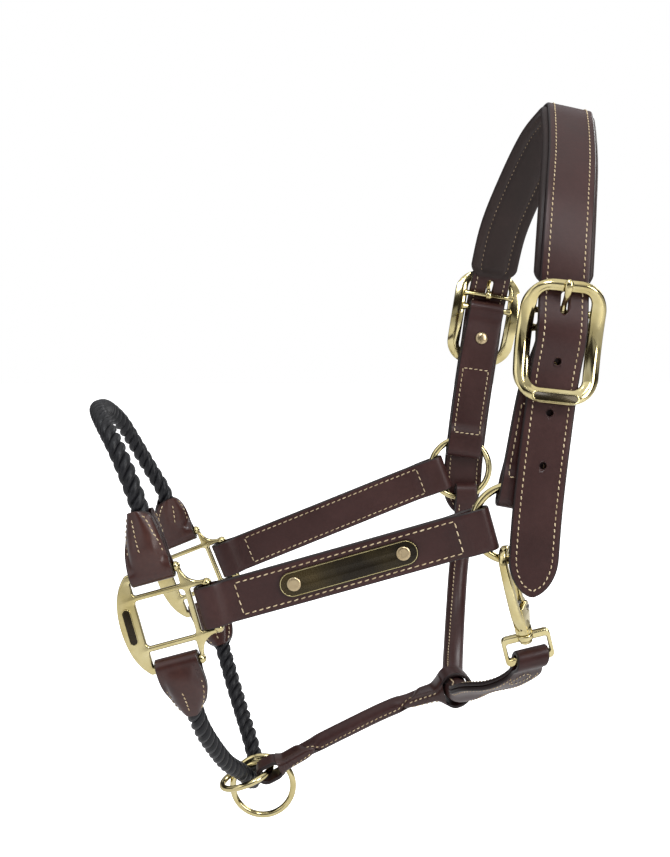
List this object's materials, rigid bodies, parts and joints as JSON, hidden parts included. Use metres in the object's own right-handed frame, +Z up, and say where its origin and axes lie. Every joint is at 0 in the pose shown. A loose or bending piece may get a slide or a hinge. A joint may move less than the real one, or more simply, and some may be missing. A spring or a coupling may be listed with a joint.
{
  "type": "leather headcollar",
  "caption": "Leather horse headcollar: padded crown with buckles, nose straps with fittings, rope nose and chin pieces, rolled throat strap, snap hook and rings.",
  "frame": {"origin": "on the flat under the crown lining where it rests on the poll, on the headcollar's mid-plane", "axes": "+X towards the poll end (back), -X towards the nose, -Y the near (left) side of the head, +Z up"},
  "size_m": [0.3252, 0.2257, 0.4759],
  "materials": {
    "leather_havana": "waxed havana brown bridle leather, light sheen, cream stitching",
    "leather_lining": "soft matt lining leather",
    "crown_foam": "thin foam, hidden",
    "cord_core": "cord filler, hidden",
    "rope_black": "three-strand black synthetic rope",
    "polished_brass": "polished pale brass",
    "plate_dark": "dark enamelled plate with a thin bright rim, blank",
    "spring_steel": "plain spring steel"
  },
  "bodies": {
    "root": {"chin_rope": "rope_black", "crown_foam": "crown_foam", "crown_lining": "leather_lining", "crown_strap": "leather_havana", "far_buckle_frame": "polished_brass", "far_cheek_rivet": "polished_brass", "far_cheek_strap": "leather_havana", "far_lower_rope_tab": "leather_havana", "far_nose_fitting": "polished_brass", "far_nose_strap": "leather_havana", "far_upper_rope_tab": "leather_havana", "jowl_strap": "leather_havana", "jowl_strap_core": "cord_core", "name_plate": "plate_dark", "name_plate_front_rivet": "polished_brass", "name_plate_rear_rivet": "polished_brass", "near_buckle_frame": "polished_brass", "near_cheek_rivet": "polished_brass", "near_cheek_strap": "leather_havana", "near_lower_rope_tab": "leather_havana", "near_nose_fitting": "polished_brass", "near_nose_strap": "leather_havana", "near_upper_rope_tab": "leather_havana", "nose_rope": "rope_black", "snap_swivel_eye": "polished_brass", "throat_strap": "leather_havana", "throat_strap_core": "cord_core"},
    "chin_ring_body": {"chin_ring": "polished_brass"},
    "far_prong": {"far_buckle_prong": "polished_brass"},
    "far_ring": {"far_cheek_ring": "polished_brass"},
    "lead_ring_body": {"lead_ring": "polished_brass"},
    "near_prong": {"near_buckle_prong": "polished_brass"},
    "near_ring": {"near_cheek_ring": "polished_brass"},
    "snap": {"snap_body": "polished_brass", "snap_gate_pin": "spring_steel", "snap_gate_spring": "spring_steel"},
    "snap_gate_lever": {"snap_gate": "polished_brass"}
  },
  "joints": [
    {"name": "near_buckle_prong_lift", "type": "hinge", "parent": "root", "child": "near_prong", "pos_m": [-0.02421, -0.10126, -0.12316], "axis": [0.9944, 0.0012, -0.106], "range_deg": [0, 6]},
    {"name": "far_buckle_prong_lift", "type": "hinge", "parent": "root", "child": "far_prong", "pos_m": [-0.03501, 0.0996, -0.10689], "axis": [-0.9882, 0.0002, 0.1534], "range_deg": [0, 6]},
    {"name": "near_cheek_ring_turn", "type": "hinge", "parent": "root", "child": "near_ring", "pos_m": [-0.051, -0.099, -0.2434], "axis": [0, 1, 0], "continuous": true},
    {"name": "far_cheek_ring_turn", "type": "hinge", "parent": "root", "child": "far_ring", "pos_m": [-0.055, 0.098, -0.235], "axis": [0, 1, 0], "continuous": true},
    {"name": "chin_ring_turn", "type": "hinge", "parent": "root", "child": "chin_ring_body", "pos_m": [-0.2097, 0.002, -0.432], "axis": [-0.342, 0, 0.9397], "continuous": true},
    {"name": "lead_ring_swing", "type": "hinge", "parent": "root", "child": "lead_ring_body", "pos_m": [-0.1944, 0.008, -0.4264], "axis": [0, 1, 0], "range_deg": [-8, 5]},
    {"name": "snap_swivel", "type": "hinge", "parent": "root", "child": "snap", "pos_m": [-0.05315, -0.09873, -0.26479], "axis": [0.262, 0.21, -0.9419], "range_deg": [-10, 10]},
    {"name": "snap_gate_open", "type": "hinge", "parent": "snap", "child": "snap_gate_lever", "pos_m": [-0.04117, -0.08471, -0.29613], "axis": [0.8961, -0.4154, 0.1566], "range_deg": [0, 20], "stiffness_Nm_per_rad": 0.02, "springref_deg": -17.19, "deforming": ["snap_gate_spring"]}
  ]
}
